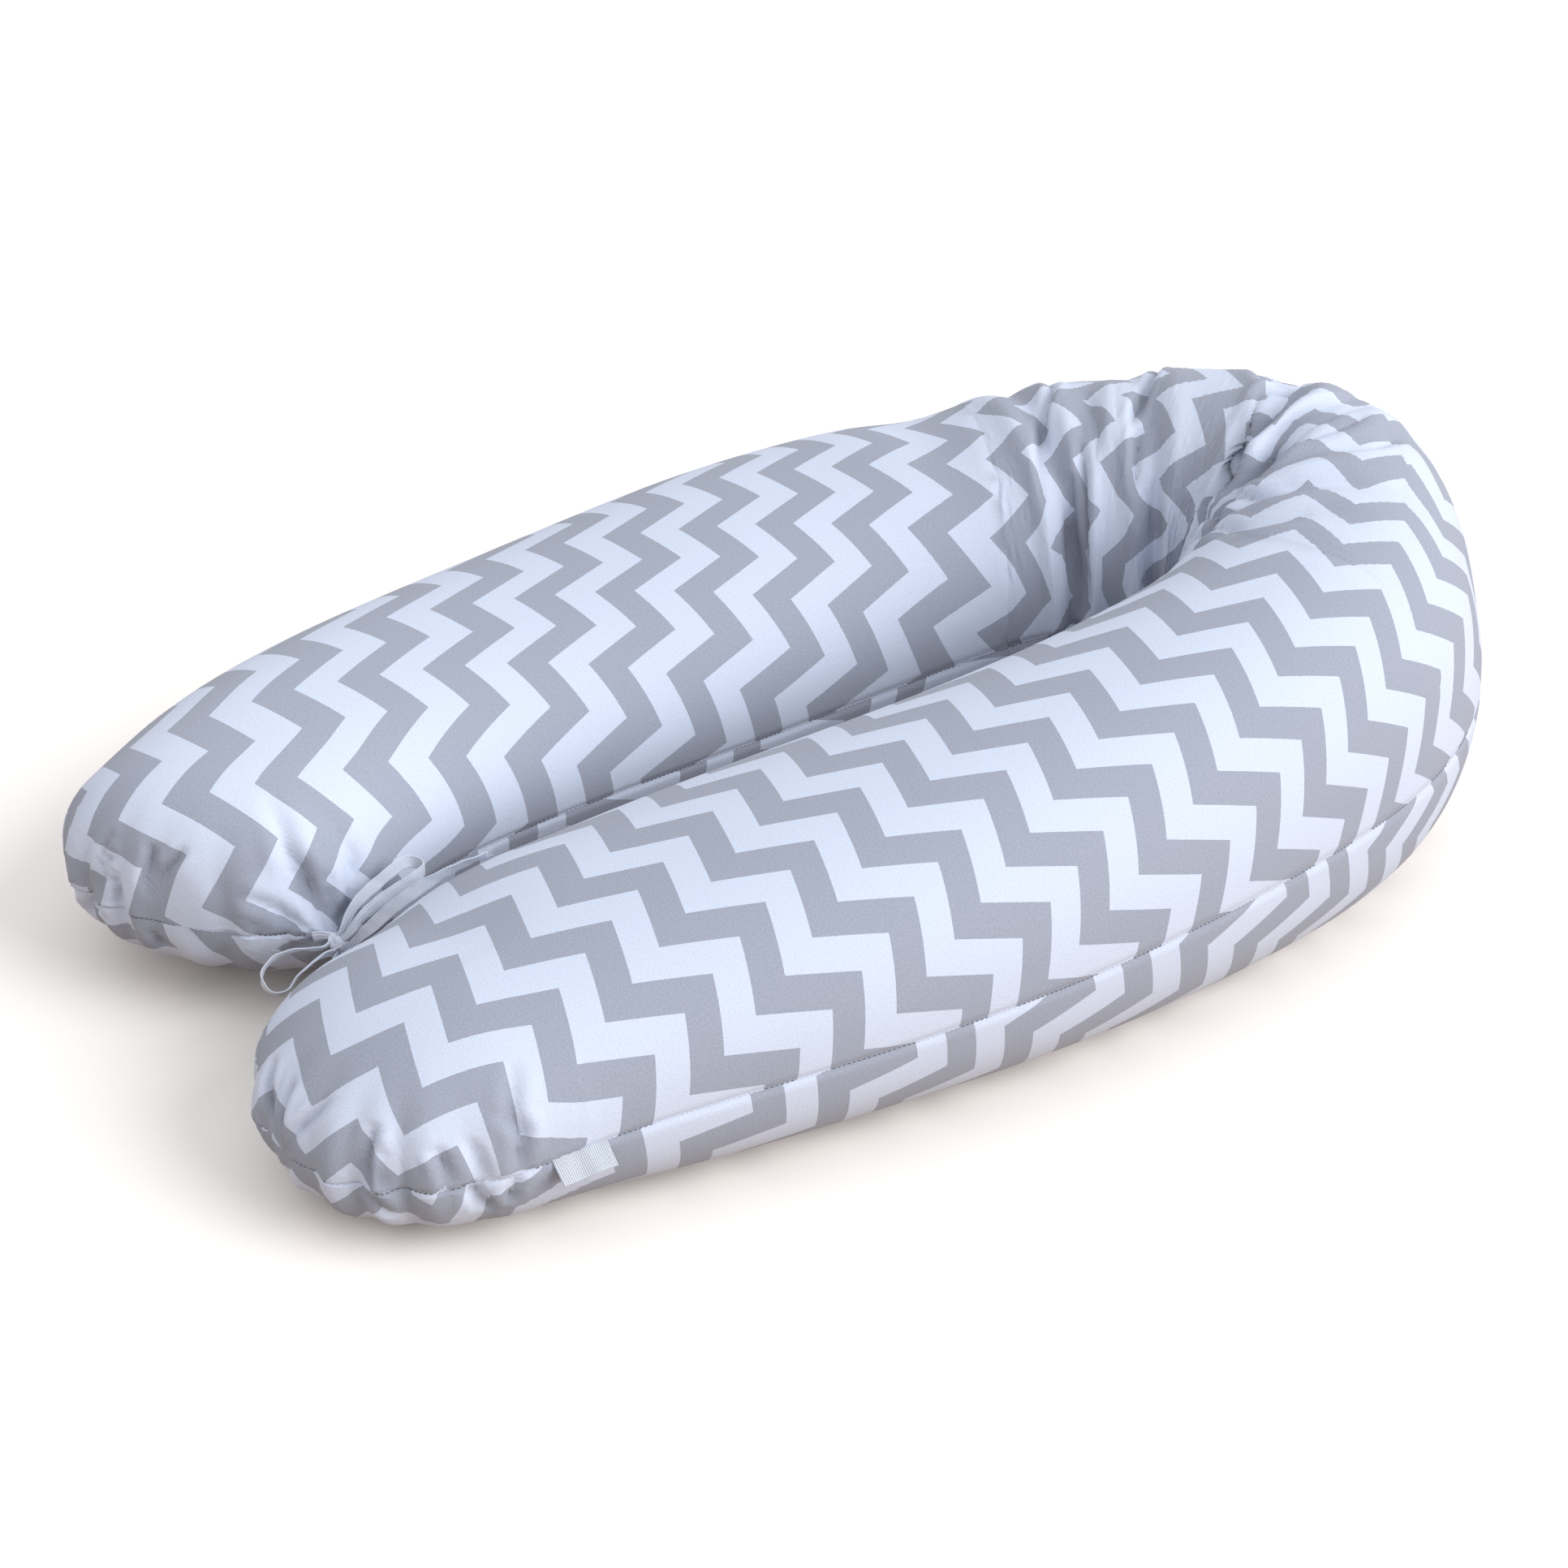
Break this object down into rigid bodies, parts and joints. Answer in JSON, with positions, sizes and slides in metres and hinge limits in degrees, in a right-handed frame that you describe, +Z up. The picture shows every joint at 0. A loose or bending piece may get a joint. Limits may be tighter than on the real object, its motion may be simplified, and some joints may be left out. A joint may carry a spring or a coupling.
{
  "type": "body pillow",
  "caption": "Long stuffed body pillow in printed cotton, bent into a horseshoe that rises towards its bend, its ends tied together with a tape bow.",
  "frame": {"origin": "on the surface that the pillow lies on, under the middle of the box round the pillow and its label", "axes": "+Z up; +X from the two tied ends towards the bend; the back arm lies at +Y and the front arm at -Y"},
  "size_m": [0.801, 0.5546, 0.2173],
  "materials": {
    "printed_cotton": "matt plain-weave cotton with a grey and white zigzag print",
    "woven_label": "matt ribbed woven tape",
    "cotton_tape": "matt plain-weave cotton"
  },
  "bodies": {
    "root": {"pillow": "printed_cotton", "label": "woven_label", "tie_back_lead": "cotton_tape", "tie_back_loop": "cotton_tape", "tie_back_end": "cotton_tape", "tie_front_lead": "cotton_tape", "tie_front_loop": "cotton_tape", "tie_front_end": "cotton_tape", "tie_knot": "cotton_tape"}
  },
  "joints": []
}
